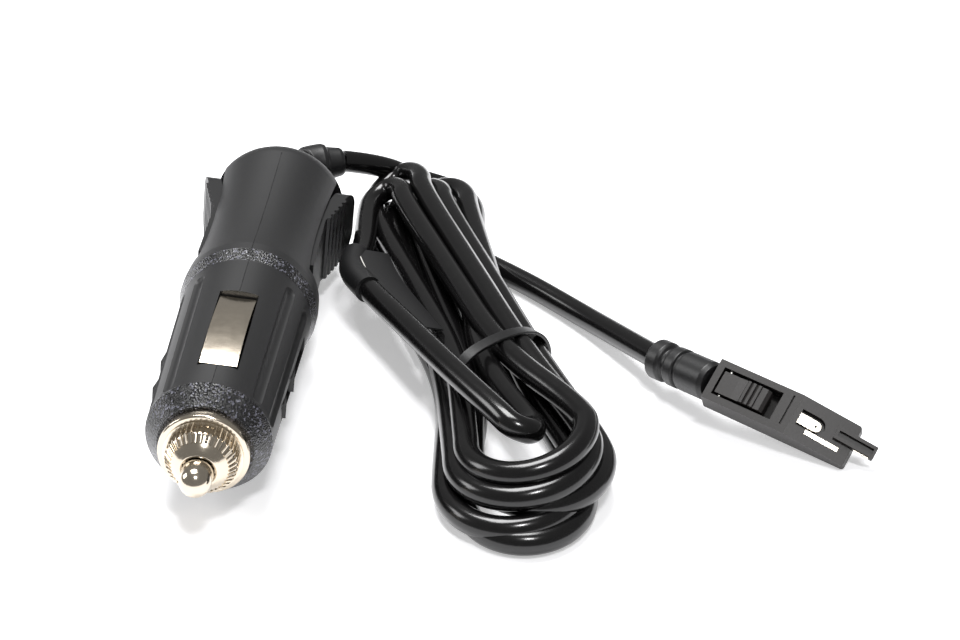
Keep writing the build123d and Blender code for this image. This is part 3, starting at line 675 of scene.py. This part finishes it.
# ------------------------------------------------------------------------------------------
# Tie band and label
# ------------------------------------------------------------------------------------------
def band_along(name, path, width_axis, width, thickness, closed):
    """Flat strip that follows a path, its width along width_axis."""
    form = bmesh.new()
    rows = []
    count = len(path)
    across = Vector(width_axis).normalized()
    for i, point in enumerate(path):
        ahead = path[(i + 1) % count] if closed else path[min(i + 1, count - 1)]
        behind = path[i - 1] if closed else path[max(i - 1, 0)]
        along = (ahead - behind).normalized()
        out = along.cross(across).normalized()
        rows.append([form.verts.new(point + across * (width / 2 * a) + out * (thickness / 2 * b))
                     for a, b in ((-1, -0.6), (-0.94, -1), (0.94, -1), (1, -0.6), (1, 0.6),
                                  (0.94, 1), (-0.94, 1), (-1, 0.6))])
    pairs = list(zip(rows, rows[1:]))
    if closed:
        pairs.append((rows[-1], rows[0]))
    for here, there in pairs:
        for k in range(8):
            form.faces.new([here[k], here[(k + 1) % 8], there[(k + 1) % 8], there[k]])
    if not closed:
        form.faces.new(rows[0])
        form.faces.new(rows[-1])
    return mesh_from(form, name)


TIE_MIDDLE, TIE_HEADING = (43.2, -2.3, 0), radians(45.7)
TIE_WIDTH, TIE_THICKNESS = 2.2, 0.55
# round the hank: across from the tie's middle, and height
TIE_OUTLINE = [(-10.9, 4.0), (-10.6, 8.6), (-7.4, 12.4), (-1.5, 13.2), (4.5, 12.6), (9.0, 10.8),
               (11.4, 7.0), (11.2, 2.6), (8.6, 0.45), (0.0, 0.4), (-7.6, 0.45), (-10.4, 1.4)]


def make_tie():
    """Thin flat band pulled round the hank, a little askew."""
    heading = Vector((cos(TIE_HEADING), sin(TIE_HEADING), 0))
    width_axis = Vector((-sin(TIE_HEADING), cos(TIE_HEADING), 0))
    points = [tuple(Vector(TIE_MIDDLE) + heading * u + Vector((0, 0, z))) for u, z in TIE_OUTLINE]
    mesh = band_along("tie", path_of("tie_path", points, closed=True), width_axis, TIE_WIDTH,
                      TIE_THICKNESS, True)
    return finish("hank_tie_band", mesh, "tie", "root", ["hank_tie"])


SLEEVE_POINTS = [(19.6, 15.4, 11.2), (17.9, 18.6, 10.9), (16.3, 22.0, 10.55), (15.4, 26.0, 10.1),
                 (15.6, 30.2, 9.7)]
SLEEVE_RADIUS = 2.42
FLAG_POINTS = [(18.8, 30.5, 10.4), (21.0, 22.0, 11.2), (25.6, 12.0, 11.9), (31.0, 1.5, 12.2)]
FLAG_WIDTH_AXIS = (0.84, 0.4, -0.36)
FLAG_WIDTH, FLAG_THICKNESS = 6.4, 0.3
EDGE_OFFSET = (-2.75, -1.3, 1.2)          # from the flag's middle to its upper long edge
EDGE_WIDTH, EDGE_THICKNESS = 0.22, 0.34


def make_label():
    """Paper flag: a sleeve wrapped round one strand, its tail lying along the hank."""
    strand = path_of("label_path", SLEEVE_POINTS)
    sleeve = finish("label_sleeve", tube_along("label", strand, [SLEEVE_RADIUS] * len(strand), 32),
                    "label", "root", ["cord_label"])
    middle = path_of("tail_path", FLAG_POINTS)
    flag = finish("label_flag", band_along("flag", middle, FLAG_WIDTH_AXIS, FLAG_WIDTH,
                                           FLAG_THICKNESS, False),
                  "label", "root")
    rim = [point + Vector(EDGE_OFFSET) for point in middle]
    edge = finish("label_flag_edge", band_along("edge", rim, FLAG_WIDTH_AXIS, EDGE_WIDTH,
                                                EDGE_THICKNESS, False),
                  "label_edge", "root")
    return [sleeve, flag, edge]


# ------------------------------------------------------------------------------------------
# Make everything
# ------------------------------------------------------------------------------------------
set_camera()
set_stage()
for finish_name, names in CAD_FINISH.items():
    for name in names:
        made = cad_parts[name].data
        made.materials.clear()
        made.materials.append(MATERIALS[finish_name])
CONNECTOR_NODES = ["connector_base", "connector_cover", "latch_button", "latch_pin",
                   "contact_tongue", "contact_strip", "key_rib", "key_contact"]
on_cable = [make_plug_boot(), make_connector_boot(), make_tie(), *make_label()]
on_cable += [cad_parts[name] for name in CONNECTOR_NODES]
make_cable()
make_ring()
make_cap()
make_tip()
make_springs()
